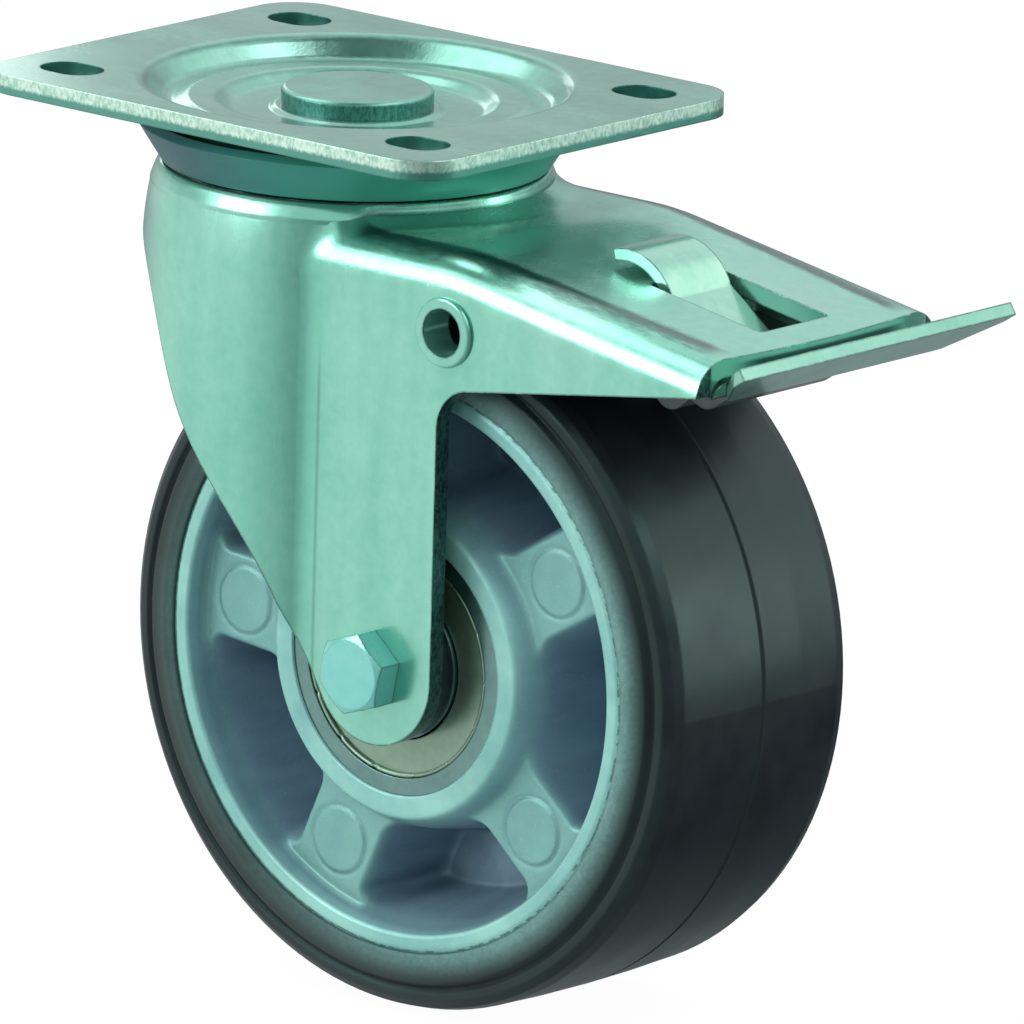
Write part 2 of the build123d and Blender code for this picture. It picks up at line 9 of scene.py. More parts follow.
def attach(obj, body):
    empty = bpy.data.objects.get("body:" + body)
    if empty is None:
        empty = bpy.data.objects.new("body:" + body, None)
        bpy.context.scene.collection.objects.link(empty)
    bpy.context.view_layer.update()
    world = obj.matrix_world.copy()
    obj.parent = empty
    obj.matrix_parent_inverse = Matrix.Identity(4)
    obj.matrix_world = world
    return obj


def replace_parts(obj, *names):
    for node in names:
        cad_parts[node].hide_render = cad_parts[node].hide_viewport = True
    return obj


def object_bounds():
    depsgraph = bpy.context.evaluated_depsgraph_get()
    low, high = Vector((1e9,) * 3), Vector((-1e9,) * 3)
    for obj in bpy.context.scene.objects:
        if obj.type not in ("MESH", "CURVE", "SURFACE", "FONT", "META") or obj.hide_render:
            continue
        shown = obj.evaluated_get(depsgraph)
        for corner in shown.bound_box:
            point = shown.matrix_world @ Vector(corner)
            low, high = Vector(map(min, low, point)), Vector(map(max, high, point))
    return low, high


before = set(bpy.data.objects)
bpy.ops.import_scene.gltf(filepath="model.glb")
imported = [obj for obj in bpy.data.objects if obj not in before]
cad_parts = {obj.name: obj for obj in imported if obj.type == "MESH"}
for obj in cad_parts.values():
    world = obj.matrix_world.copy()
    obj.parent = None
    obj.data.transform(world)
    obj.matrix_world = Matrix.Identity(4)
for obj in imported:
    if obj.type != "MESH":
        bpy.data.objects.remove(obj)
cad_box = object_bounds()
MM = 0.001


def mm(*values):
    """Lengths given in millimetres, in metres."""
    return tuple(value * MM for value in values)


# The origin lies on the king pin's axis, at the plate's top face. +X points to the pedal and -Y
# to the bolt's head. A pair is a soft step: where it begins and where it is full.
PLATE_HALF_X, PLATE_HALF_Y = mm(52.5, 42.5)
PLATE_RIM = (0.89, 0.92)
TORN_HEIGHT = mm(-2.0, -1.2)
TORN_WANDER = 0.9 * MM
OUTSIDE_DISH = mm(40.5, 41.5)
PLATE_STEEP = (0.3, 0.7)
PIN_STEEP = (0.3, 0.8)
# Radius, half width and strength of each line in the dish
DISH_LINES = ((*mm(37.2, 0.7), 0.7), (*mm(33.6, 0.6), 0.45), (*mm(24.4, 0.8), 0.4))

LEG_SHEET = mm(28.2, 28.9)
LEG_HEIGHT = mm(-27, -25)
LEG_EDGE_ON = (0.35, 0.7)
CUT_BEHIND = mm(19, 24)
BAND_ACROSS = mm(20, 27)
BAND_RISE = mm(0, 19)
BAND_FALL = mm(19.5, 23.5)
BAND_HEIGHT = mm(-26, -20)
QUARTER_FALL = mm(-24, -12)
QUARTER_HEIGHT = mm(-24, -18)
DECK_END = mm(106.2, 106.9)
DECK_LOWER = mm(-28.7, -27.9)
DECK_FACING = (0.5, 0.85)
RIDGE_X = mm(25.5, 102.8)
RIDGE_Y = mm(26.5, 23.2)
RIDGE_WIDTH = mm(0.9, 1.9)
RIDGE_BEGIN = mm(23, 27)
RIDGE_END = mm(100, 106)
RIDGE_HEIGHT = mm(-29, -27.5)
CREASE_X, CREASE_HALF = mm(20.6, 0.55)
CREASE_HEIGHT = mm(-48, -36)
EDGE_SHADE_RADIUS = 0.7 * MM
EDGE_SHADE_TURN = (0.9, 0.998)
PAINTED_LIGHT_SIDE = mm(-12, 32)

WHEEL_X = 33.5 * MM
WHEEL_Z = -94.2 * MM
WEB_HALF = 3.5 * MM
SPOKE_FACE = 21.0 * MM
RIM_FACE = 25.2 * MM
BELOW_RIM_FACE = mm(21.4, 23.5)
OUT_OF_POCKET = (SPOKE_FACE - 3.4 * MM, SPOKE_FACE - 0.3 * MM)
CORNER_REACH = 7 * MM
CRACK_RADIUS, CRACK_WANDER = mm(51.3, 0.7)
CRACK_WIDTH = mm(0.08, 0.26)
LIP_DUST_AND_SHEEN = mm(51.6, 56.8)
SHEEN_SIDE = mm(0, 70)
TREAD_SEAM = mm(0.25, 0.7)
THREAD_PITCH = 1.25 * MM
THREAD_BEGIN = mm(33.6, 33.8)


# Node helpers
class Graph:
    """Builds the node tree of one material or of the world."""

    def __init__(self, tree):
        self.tree = tree
        tree.nodes.clear()

    def link(self, source, target):
        self.tree.links.new(source, target)

    def add(self, kind, links=None, **settings):
        """A node with its settings, and with its inputs linked or set."""
        node = self.tree.nodes.new(kind)
        for key, value in settings.items():
            setattr(node, key, value)
        for socket, source in (links or {}).items():
            target = node.inputs[socket]
            if isinstance(source, bpy.types.NodeSocket):
                self.link(source, target)
            else:
                target.default_value = source
        return node

    def math(self, operation, *values, clamp=False):
        links = dict(enumerate(values))
        node = self.add("ShaderNodeMath", links, operation=operation, use_clamp=clamp)
        return node.outputs[0]

    def times(self, total, *others):
        """Product of all the values."""
        for other in others:
            total = self.math("MULTIPLY", total, other)
        return total

    def size(self, value):
        """The value without its sign."""
        return self.math("ABSOLUTE", value)

    def apart(self, a, b):
        """How far two values lie apart."""
        return self.size(self.math("SUBTRACT", a, b))

    def ridge(self, off, half, top=1.0):
        """A line that falls to 0 at half its width from its middle. A top above 1 widens it."""
        return self.math("SUBTRACT", top, self.math("DIVIDE", off, half), clamp=True)

    def smooth(self, value, low, high):
        """0 below low, 1 above high, smooth between."""
        node = self.add(
            "ShaderNodeMapRange",
            {"Value": value, "From Min": low, "From Max": high},
            interpolation_type="SMOOTHSTEP",
        )
        return node.outputs["Result"]

    def fall(self, value, low, high):
        """1 below low, 0 above high, smooth between."""
        return self.math("SUBTRACT", 1.0, self.smooth(value, low, high))

    def remap(self, value, low, high, to_low=0.0, to_high=1.0):
        """to_low below low, to_high above high, straight between."""
        links = {
            "Value": value, "From Min": low, "From Max": high, "To Min": to_low, "To Max": to_high,
        }
        return self.add("ShaderNodeMapRange", links).outputs["Result"]

    def mix(self, factor, a, b):
        """Colour a where the factor is 0, b where it is 1."""
        node = self.add("ShaderNodeMix", {0: factor, 6: a, 7: b}, data_type="RGBA")
        return node.outputs[2]

    def vector(self, operation, *values):
        """Vector maths, which gives a number for a length or a dot product."""
        node = self.add("ShaderNodeVectorMath", dict(enumerate(values)), operation=operation)
        return node.outputs["Value" if operation in ("LENGTH", "DOT_PRODUCT") else "Vector"]

    def parts(self, vector):
        return self.add("ShaderNodeSeparateXYZ", {0: vector}).outputs

    def noise(self, vector, scale, detail, roughness=0.5):
        node = self.add(
            "ShaderNodeTexNoise",
            {"Vector": vector, "Scale": scale, "Detail": detail, "Roughness": roughness},
        )
        return node.outputs["Fac"]

    def streaks(self, vector, scales, detail, roughness):
        """Noise with a scale of its own along each axis."""
        stretched = self.add("ShaderNodeMapping", {"Vector": vector, "Scale": scales})
        return self.noise(stretched.outputs["Vector"], 1.0, detail, roughness)

    def rounded(self, radius, samples=4):
        """The surface's normal, with its edges rounded."""
        return self.add("ShaderNodeBevel", {"Radius": radius}, samples=samples).outputs["Normal"]

    def bump(self, height, strength, distance, normal=None):
        links = {"Height": height, "Strength": strength, "Distance": distance}
        if normal is not None:
            links["Normal"] = normal
        return self.add("ShaderNodeBump", links).outputs["Normal"]


def srgb(red, green, blue):
    """A colour written as it should look, 0 to 255, in linear light."""
    parts = []
    for part in (red, green, blue):
        c = part / 255
        parts.append(c / 12.92 if c <= 0.04045 else ((c + 0.055) / 1.055) ** 2.4)
    return (*parts, 1.0)


def surface(name):
    """A new material with its graph, its shader, and the place and normal of its points."""
    material = bpy.data.materials.new(name)
    material.use_nodes = True
    graph = Graph(material.node_tree)
    out = graph.add("ShaderNodeOutputMaterial")
    shader = graph.add("ShaderNodeBsdfPrincipled")
    graph.link(shader.outputs[0], out.inputs[0])
    where = graph.add("ShaderNodeTexCoord").outputs
    return material, graph, shader, where["Object"], where["Normal"]


def dress(graph, shader, even, colour, roughness=None, relief=None):
    """Set what is even all over a surface on its shader, and link what varies."""
    for socket, value in even.items():
        shader.inputs[socket].default_value = value
    varied = {"Base Color": colour, "Roughness": roughness, "Normal": relief}
    for socket, source in varied.items():
        if source is not None:
            graph.link(source, shader.inputs[socket])


def radius_from_pin(graph, place):
    """Distance of a point from the king pin's axis."""
    return graph.vector("LENGTH", graph.vector("MULTIPLY", place, (1, 1, 0)))


def radius_from_axle(graph, place):
    """Distance of a point from the wheel's axle."""
    centred = graph.vector("ADD", place, (-WHEEL_X, 0, -WHEEL_Z))
    return graph.vector("LENGTH", graph.vector("MULTIPLY", centred, (1, 0, 1)))


# Masks: 1 where the surface is cut, worn, stained or given painted shade or light, 0 elsewhere.
# The marks and cuts of plated_steel are all called with the same three arguments.
def plate_rim(graph, place):
    """The plate's outer edge, not its slots."""
    at = graph.parts(place)
    along = graph.math("DIVIDE", graph.size(at["X"]), PLATE_HALF_X)
    across = graph.math("DIVIDE", graph.size(at["Y"]), PLATE_HALF_Y)
    return graph.smooth(graph.math("MAXIMUM", along, across), *PLATE_RIM)


def plate_cut(graph, place, normal):
    """The plate's sheared outer edge and the walls of its slots."""
    upright = graph.fall(graph.size(graph.parts(normal)["Z"]), *PLATE_STEEP)
    return graph.times(upright, graph.smooth(radius_from_pin(graph, place), *OUTSIDE_DISH))


def fork_shaded_cut(graph, place, normal):
    """The sheared edge of the fork's legs and arms, which takes a dark colour, painted shade."""
    at = graph.parts(place)
    side = graph.smooth(graph.size(at["Y"]), *LEG_SHEET)
    low = graph.fall(at["Z"], *LEG_HEIGHT)
    edge_on = graph.fall(graph.size(graph.parts(normal)["Y"]), *LEG_EDGE_ON)
    return graph.times(side, low, edge_on, graph.smooth(at["X"], *CUT_BEHIND))


def crown_painted_shade(graph, place, normal):
    """Painted shade: a soft darker band down the fork, just ahead of the crease between crown and
    leg, standing in for a dark reflection.
    """
    at = graph.parts(place)
    across = graph.smooth(graph.size(at["Y"]), *BAND_ACROSS)
    rise = graph.smooth(at["X"], *BAND_RISE)
    fall = graph.fall(at["X"], *BAND_FALL)
    return graph.times(rise, fall, graph.fall(at["Z"], *BAND_HEIGHT), across, 0.25)


def crown_painted_shade_quarter(graph, place, normal):
    """Painted shade: the fork's darker quarter away from the pedal, where the crown turns round.
    """
    at = graph.parts(place)
    away = graph.fall(at["X"], *QUARTER_FALL)
    return graph.times(away, graph.fall(at["Z"], *QUARTER_HEIGHT), 0.7)


def deck_end_painted_shade(graph, place, normal):
    """Painted shade on the lower half of the deck's cut end, over the pedal."""
    at = graph.parts(place)
    facing = graph.smooth(graph.parts(normal)["X"], *DECK_FACING)
    reach = graph.smooth(at["X"], *DECK_END)
    return graph.times(facing, reach, graph.fall(at["Z"], *DECK_LOWER))


def dish_painted_shade_lines(graph, place, normal):
    """Painted shade: dark lines where the plate bends into its dish and down to the dish's floor.
    """
    away = radius_from_pin(graph, place)
    total = 0.0
    for radius, half, strength in DISH_LINES:
        line = graph.times(graph.ridge(graph.apart(away, radius), half), strength)
        total = graph.math("MAXIMUM", total, line)
    patchiness = graph.remap(graph.noise(place, 240.0, 3.0, 0.6), 0.3, 0.7, 0.5, 1.0)
    return graph.times(total, patchiness)


def bend_rubs_and_shade(graph, place, normal):
    """Dark lines beside the deck's ridges, partly rub marks and partly a painted dark reflection
    in the bend, and painted shade in the crease down each leg.
    """
    at = graph.parts(place)
    middle = graph.remap(at["X"], *RIDGE_X, *RIDGE_Y)
    beyond = graph.math("SUBTRACT", graph.size(at["Y"]), middle)
    off = graph.math("MAXIMUM", graph.times(beyond, 0.45), graph.times(beyond, -1.0))
    patchiness = graph.streaks(place, (260, 900, 900), 3.0, 0.7)
    mark = graph.ridge(off, graph.remap(patchiness, 0.3, 0.7, *RIDGE_WIDTH), 1.3)
    span = graph.times(graph.smooth(at["X"], *RIDGE_BEGIN), graph.fall(at["X"], *RIDGE_END))
    line = graph.times(mark, span, graph.smooth(at["Z"], *RIDGE_HEIGHT))
    # Painted shade down the crease between crown and leg
    crease = graph.ridge(graph.apart(at["X"], CREASE_X), CREASE_HALF)
    crease = graph.times(crease, graph.fall(at["Z"], *CREASE_HEIGHT), 0.4)
    return graph.math("MAXIMUM", line, crease)


def edge_painted_shade(graph, place):
    """Painted shade: a thin dark line along every sharp edge, broken up by noise."""
    true = graph.add("ShaderNodeNewGeometry").outputs["Normal"]
    turned = graph.vector("DOT_PRODUCT", true, graph.rounded(EDGE_SHADE_RADIUS, samples=6))
    broken = graph.remap(graph.noise(place, 330.0, 4.0, 0.7), 0.35, 0.5, 0.35, 1.0)
    return graph.times(graph.fall(turned, *EDGE_SHADE_TURN), broken)


def pin_painted_dark_side(graph, place, normal):
    """The turned side of the king pin's head, darkened as a painted dark reflection."""
    return graph.fall(graph.size(graph.parts(normal)["Z"]), *PIN_STEEP)


def plate_tear(graph, place, torn, scar):
    """Colour of the plate's cut: darker and smooth below the torn part, and darker in the slots,
    where the colour is painted shade.
    """
    level = graph.math("MULTIPLY_ADD", torn, TORN_WANDER, graph.parts(place)["Z"])
    scar = graph.mix(graph.smooth(level, *TORN_HEIGHT), srgb(82, 150, 136), scar)
    # The slots' walls take the darkest colour, painted shade
    return graph.mix(plate_rim(graph, place), srgb(62, 128, 116), scar)


def bolt_thread(graph, place):
    """Height of the thread wound around the axle bolt's far end."""
    at = graph.parts(place)
    up, along = graph.math("SUBTRACT", at["Z"], WHEEL_Z), graph.math("SUBTRACT", at["X"], WHEEL_X)
    turn = graph.math("DIVIDE", graph.math("ARCTAN2", up, along), 2 * math.pi)
    wound = graph.math("ADD", graph.math("DIVIDE", at["Y"], THREAD_PITCH), turn)
    return graph.times(graph.math("PINGPONG", wound, 0.5), graph.smooth(at["Y"], *THREAD_BEGIN))


# Surfaces. The scale of a noise is in cells per metre.
def plated_steel(
    name, light, dark, metallic=0.85, coat=0.5, rough=(0.26, 0.38), streak=(160, 160, 14),
    edge=0.4 * MM, tint=None, painted_light=None, marks=(), edge_shade=0.0, pits=0.0,
    cut=None, cut_colours=None, tear=None, thread=False,
):
    """Zinc plated steel: satin streaks, cloudy patches, fine grain and softened edges.

    tint colours broad patches, and one argument lightens the side towards the pedal, painted
    light.
    marks pair a mask with its colour, mostly painted shade. cut masks sheared or turned faces with
    two colours of their own, painted shade on the pin and fork.
    One strength sets a painted dark line along the edges, and pits sets small hollows.
    """
    material, graph, shader, place, normal = surface(name)
    lines = graph.streaks(place, streak, 4.0, 0.55)
    cloud = graph.noise(place, 38.0, 3.0, 0.5)
    mottle = graph.noise(place, 420.0, 3.0, 0.6)
    grain = graph.noise(place, 1500.0, 2.0, 0.6)
    blend = graph.math("MULTIPLY_ADD", cloud, 0.4, graph.times(lines, 0.3))
    blend = graph.math("MULTIPLY_ADD", mottle, 0.3, blend)
    colour = graph.mix(graph.remap(blend, 0.32, 0.68), dark, light)
    roughness = graph.remap(lines, 0.3, 0.7, *rough)
    relief = graph.bump(cloud, 0.10, 0.9 * MM, graph.rounded(edge))
    relief = graph.bump(grain, 0.12, 0.06 * MM, relief)
    if tint is not None:
        patch = graph.smooth(graph.noise(place, 17.0, 2.0, 0.5), 0.5, 0.7)
        colour = graph.mix(graph.times(patch, 0.3), colour, tint)
    # Painted shade: a dark line along the sharp edges
    if edge_shade:
        line = graph.math("MULTIPLY", edge_painted_shade(graph, place), edge_shade, clamp=True)
        colour = graph.mix(line, colour, srgb(14, 44, 42))
    if pits:
        hollow = graph.smooth(graph.noise(place, 900.0, 3.0, 0.7), 0.3, 0.55)
        relief = graph.bump(hollow, pits, 0.12 * MM, relief)
    # Painted light: the side towards the pedal gets a lighter colour
    if painted_light is not None:
        side = graph.smooth(graph.parts(place)["X"], *PAINTED_LIGHT_SIDE)
        colour = graph.mix(side, colour, painted_light)
    for mark, mark_colour in marks:
        colour = graph.mix(mark(graph, place, normal), colour, mark_colour)
    if cut is not None:
        mask = cut(graph, place, normal)
        torn = graph.streaks(place, (1500, 1500, 900), 4.0, 0.7)
        scar = graph.mix(graph.smooth(torn, 0.34, 0.62), *cut_colours)
        if tear is not None:
            scar = tear(graph, place, torn, scar)
        colour = graph.mix(mask, colour, scar)
        relief = graph.bump(graph.times(torn, mask), 0.5, 0.16 * MM, relief)
        roughness = graph.math("MULTIPLY_ADD", mask, 0.12, roughness)
    if thread:
        relief = graph.bump(bolt_thread(graph, place), 1.0, 1.2 * MM, relief)
    even = {"Metallic": metallic, "Coat Weight": coat, "Coat Roughness": 0.14}
    dress(graph, shader, even, colour, roughness, relief)
    return material


def cast_metal(name):
    """Cast aluminium wheel body: sandy grain, with painted shade on the steep walls, below the
    rim's face, in the pockets and in their corners.
    """
    material, graph, shader, place, normal = surface(name)
    height = graph.size(graph.parts(place)["Y"])
    facing = graph.size(graph.parts(normal)["Y"])
    grain = graph.noise(place, 1700.0, 3.0, 0.7)
    cloud = graph.noise(place, 60.0, 4.0, 0.6)
    flow = graph.streaks(place, (90, 20, 90), 3.0, 0.6)
    face = graph.mix(graph.remap(cloud, 0.35, 0.65), srgb(124, 184, 180), srgb(154, 214, 204))
    pocket_painted_shade = graph.mix(graph.remap(flow, 0.35, 0.65), srgb(112, 140, 158), srgb(136, 168, 184))
    # Painted shade: darker below the rim's face, on the steep walls and in the pockets
    lower = graph.fall(height, *BELOW_RIM_FACE)
    face = graph.mix(graph.times(lower, 0.5), face, srgb(94, 146, 146))
    high = graph.smooth(height, *OUT_OF_POCKET)
    high = graph.times(high, graph.remap(facing, 0.25, 0.85, 0.35, 1.0))
    colour = graph.mix(high, pocket_painted_shade, face)
    speck = graph.smooth(grain, 0.60, 0.70)
    colour = graph.mix(graph.times(speck, 0.25), colour, srgb(196, 226, 220))
    # Painted shade in the corners, from ambient occlusion
    corner = graph.add(
        "ShaderNodeAmbientOcclusion", {"Distance": CORNER_REACH}, samples=6, only_local=True
    ).outputs["AO"]
    shade = graph.fall(corner, 0.35, 0.9)
    colour = graph.mix(graph.times(shade, 0.6), colour, srgb(50, 68, 84))
    wander = graph.times(graph.noise(place, 300.0, 3.0, 0.6), CRACK_WANDER)
    away = graph.math("ADD", radius_from_axle(graph, place), wander)
    crack = graph.fall(graph.apart(away, CRACK_RADIUS), *CRACK_WIDTH)
    broken = graph.smooth(graph.noise(place, 700.0, 2.0, 0.5), 0.40, 0.56)
    colour = graph.mix(graph.times(crack, broken, 0.6), colour, srgb(36, 52, 54))
    roughness = graph.remap(grain, 0.3, 0.7, 0.36, 0.5)
    relief = graph.bump(cloud, 0.12, 1.2 * MM)
    relief = graph.bump(grain, 0.30, 0.12 * MM, relief)
    dress(graph, shader, {"Metallic": 0.3}, colour, roughness, relief)
    return material


def rubber(name):
    """Dark rubber: a lighter lip by the rim, dust with a painted sheen that grows towards the
    pedal's side, faint turning marks and a seam round the tread.
    """
    material, graph, shader, place, _ = surface(name)
    at = graph.parts(place)
    rings = graph.streaks(place, (25, 900, 25), 3.0, 0.6)
    grain = graph.noise(place, 1800.0, 2.0, 0.6)
    dust = graph.noise(place, 55.0, 5.0, 0.65)
    dust_and_sheen_colour = graph.noise(place, 1200.0, 3.0, 0.7)
    dust_and_sheen_colour = graph.mix(dust_and_sheen_colour, srgb(80, 120, 120), srgb(134, 178, 172))
    colour = graph.mix(graph.remap(dust, 0.35, 0.7), srgb(25, 26, 31), srgb(37, 41, 45))
    lip = graph.fall(radius_from_axle(graph, place), *LIP_DUST_AND_SHEEN)
    # Painted sheen: the lip grows lighter towards the pedal's side
    beyond = graph.remap(graph.smooth(at["X"], *SHEEN_SIDE), 0.0, 1.0, 0.25, 1.0)
    lip = graph.times(lip, beyond, graph.remap(dust, 0.3, 0.6, 0.7, 1.0))
    colour = graph.mix(lip, colour, dust_and_sheen_colour)
    seam = graph.fall(graph.size(at["Y"]), *TREAD_SEAM)
    colour = graph.mix(graph.times(seam, 0.8), colour, srgb(12, 14, 16))
    roughness = graph.remap(dust, 0.3, 0.7, 0.28, 0.4)
    roughness = graph.math("MULTIPLY_ADD", seam, 0.5, roughness)
    relief = graph.bump(rings, 0.10, 0.2 * MM, graph.rounded(0.9 * MM))
    relief = graph.bump(grain, 0.10, 0.06 * MM, relief)
    relief = graph.bump(seam, 0.5, 0.1 * MM, relief)
    even = {"Specular Tint": (0.55, 1.0, 0.94, 1.0), "Specular IOR Level": 0.4}
    dress(graph, shader, even, colour, roughness, relief)
    return material


ZINC = dict(light=srgb(148, 216, 196), dark=srgb(118, 194, 174))
TURNED = dict(light=srgb(150, 168, 166), dark=srgb(116, 134, 134), streak=(60, 6, 60))
LILAC = srgb(168, 182, 188)

STEELS = {
    "plate_zinc": dict(
        light=srgb(146, 204, 186), dark=srgb(104, 168, 152), rough=(0.2, 0.3),
        streak=(24, 90, 60), tint=LILAC, marks=((dish_painted_shade_lines, srgb(48, 98, 92)),), edge_shade=0.5,
        pits=0.08, cut=plate_cut, cut_colours=(srgb(150, 198, 180), srgb(206, 236, 222)),
        tear=plate_tear,
    ),
    "pin_zinc": dict(
        light=srgb(134, 196, 176), dark=srgb(100, 162, 146), rough=(0.26, 0.36),
        # Dark colours of the head's side: painted dark reflection
        streak=(90, 90, 90), cut=pin_painted_dark_side, cut_colours=(srgb(48, 104, 98), srgb(76, 142, 132)),
    ),
    "ring_zinc": dict(
        light=srgb(46, 106, 112), dark=srgb(34, 84, 92), metallic=0.25, coat=0.0,
        # Lighter on the pedal's side: painted light
        rough=(0.34, 0.44), streak=(30, 30, 160), painted_light=srgb(74, 176, 156),
    ),
    "cup_zinc": ZINC,
    "ball_steel": dict(
        light=srgb(222, 230, 228), dark=srgb(190, 202, 200), metallic=1.0, rough=(0.08, 0.14),
        edge=0.01 * MM,
    ),
    "fork_zinc": dict(
        **ZINC, rough=(0.18, 0.3), tint=LILAC, edge_shade=0.8, pits=0.04,
        # Most of the fork's marks are painted shade; the lines by the deck's ridges are partly rub
        # marks
        marks=(
            (crown_painted_shade, srgb(72, 172, 150)), (crown_painted_shade_quarter, srgb(74, 166, 146)),
            (bend_rubs_and_shade, srgb(36, 84, 78)), (deck_end_painted_shade, srgb(30, 70, 66)),
        ),
        # Dark colours of the cut edges: painted shade
        cut=fork_shaded_cut, cut_colours=(srgb(34, 62, 62), srgb(78, 126, 116)),
    ),
    "bolt_zinc": dict(
        light=srgb(140, 214, 204), dark=srgb(104, 200, 194), metallic=0.5, rough=(0.2, 0.3),
        streak=(90, 90, 90), edge_shade=0.7, thread=True,
    ),
    "nut_zinc": dict(
        light=srgb(140, 212, 196), dark=srgb(92, 182, 172), rough=(0.18, 0.28),
        streak=(90, 90, 90),
    ),
    "washer_zinc": ZINC,
    "sleeve_steel": TURNED,
    "spacer_steel": TURNED,
    "spacer_dark": dict(
        light=srgb(48, 60, 62), dark=srgb(30, 40, 42), metallic=0.4, rough=(0.3, 0.45),
        streak=(60, 6, 60),
    ),
    "lever_zinc": dict(
        light=srgb(144, 198, 180), dark=srgb(114, 176, 158), streak=(14, 160, 160), tint=LILAC,
        edge_shade=0.9,
    ),
    "shoe_steel": dict(
        light=srgb(74, 88, 90), dark=srgb(44, 54, 56), metallic=0.7, rough=(0.3, 0.45),
        streak=(160, 14, 160),
    ),
    "leaf_steel": dict(
        light=srgb(180, 224, 206), dark=srgb(136, 200, 182), rough=(0.16, 0.26),
        streak=(14, 160, 160), edge_shade=0.9,
    ),
    "ring_steel": dict(
        light=srgb(116, 156, 152), dark=srgb(84, 124, 122), metallic=0.9, rough=(0.2, 0.3),
        streak=(140, 140, 140),
    ),
    "shield_steel": dict(
        light=srgb(144, 174, 154), dark=srgb(112, 142, 126), metallic=0.8, rough=(0.28, 0.4),
        streak=(140, 140, 140),
    ),
    "bush_zinc": dict(**ZINC, metallic=0.6, rough=(0.14, 0.22), edge_shade=0.9),
    "rivet_zinc": dict(**ZINC, rough=(0.2, 0.3)),
}

looks = {name: plated_steel(name, **look) for name, look in STEELS.items()}
looks["rim_aluminium"] = cast_metal("rim_aluminium")
looks["tyre_rubber"] = rubber("tyre_rubber")

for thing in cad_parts.values():
    for holder in thing.material_slots:
        holder.material = looks[holder.material.name.split(".")[0]]


def piece(name, points, corners, carrier, slot):
    """A closed ring of sections, each a loop of so many corners, riding with a body."""
    sections = len(points) // corners
    faces = []
    for section in range(sections):
        here, after = section * corners, (section + 1) % sections * corners
        for corner in range(corners):
            over = (corner + 1) % corners
            faces.append((here + corner, after + corner, after + over, here + over))
    mesh = bpy.data.meshes.new(name)
    mesh.from_pydata(points, [], faces)
    work = bmesh.new()
    work.from_mesh(mesh)
    bmesh.ops.recalc_face_normals(work, faces=work.faces)
    work.to_mesh(mesh)
    work.free()
    mesh.shade_smooth()
    thing = bpy.data.objects.new(name, mesh)
    bpy.context.scene.collection.objects.link(thing)
    mesh.materials.append(looks[slot])
    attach(thing, carrier)
    return thing


def ease(value):
    """Smooth step from 0 to 1, flat at both ends."""
    t = np.clip(value, 0.0, 1.0)
    return t * t * t * (t * (6 * t - 15) + 10)


def soft_least(a, b, width):
    """The lesser of two distances, rounded where they meet."""
    h = np.clip(0.5 + 0.5 * (b - a) / width, 0.0, 1.0)
    return b * (1 - h) + a * h - width * h * (1 - h)


# Cast body of the wheel, with the soft fillets of its pockets, in millimetres
HUB_BORE = 23.5
HUB_RADIUS = 29.2
RING_RADIUS = 47.6
BODY_RADIUS = 51.4
SPOKES = 5
SPOKE_TURN = math.radians(30.7)
SPOKE_HALF = 7.5
HUB_FLARE, HUB_FLARE_END, HUB_FLARE_RUN = 1.0, 33.5, 4.5
RING_FLARE, RING_FLARE_START, RING_FLARE_RUN = 1.5, 43.5, 4.0
HUB_EDGE, HUB_EDGE_RUN = 26.8, 3.4
RING_EDGE, RING_EDGE_RUN = 46.9, 1.5
OUTER_DROP, OUTER_DROP_START, OUTER_DROP_RUN = 0.5, 50.2, 1.2
POCKET_ROUND = 1.2
POCKET_CORNER = 2.6
POCKET_EDGE = 0.4
POCKET_WALL = 5.2
MARK_PLACE = 38.4
MARK_RISE, MARK_RADIUS, MARK_RUN = 0.25, 5.6, 0.5
GROOVE_DEPTH, GROOVE_RADIUS, GROOVE_HALF = 0.3, 6.2, 0.28
BODY_STEPS = 600
FACE_STEPS = 66


def face_height(radius, angle):
    """Height of the casting above the wheel's middle plane."""
    face, spoke, web = RIM_FACE / MM, SPOKE_FACE / MM, WEB_HALF / MM
    pitch = 2 * math.pi / SPOKES
    near = (angle - SPOKE_TURN + pitch / 2) % pitch - pitch / 2
    across, along = radius * np.sin(near), radius * np.cos(near)
    hub_flare = HUB_FLARE * ease((HUB_FLARE_END - radius) / HUB_FLARE_RUN)
    ring_flare = RING_FLARE * ease((radius - RING_FLARE_START) / RING_FLARE_RUN)
    inside = soft_least(radius - HUB_RADIUS, RING_RADIUS - radius, POCKET_ROUND)
    beside = np.abs(across) - SPOKE_HALF - (hub_flare + ring_flare)
    inside = soft_least(inside, beside, POCKET_CORNER)
    hub = 1 - ease((radius - HUB_EDGE) / HUB_EDGE_RUN)
    ring = ease((radius - RING_EDGE) / RING_EDGE_RUN)
    drop = OUTER_DROP * ease((radius - OUTER_DROP_START) / OUTER_DROP_RUN)
    level = spoke + (face - spoke) * np.maximum(hub, ring) - drop
    from_mark = np.hypot(across, along - MARK_PLACE)
    mark = MARK_RISE * (1 - ease((from_mark - MARK_RADIUS) / MARK_RUN))
    groove = GROOVE_DEPTH * np.exp(-((from_mark - GROOVE_RADIUS) / GROOVE_HALF) ** 2)
    level = level + (mark - groove)
    return level - (spoke - web) * ease((inside + POCKET_EDGE) / POCKET_WALL)


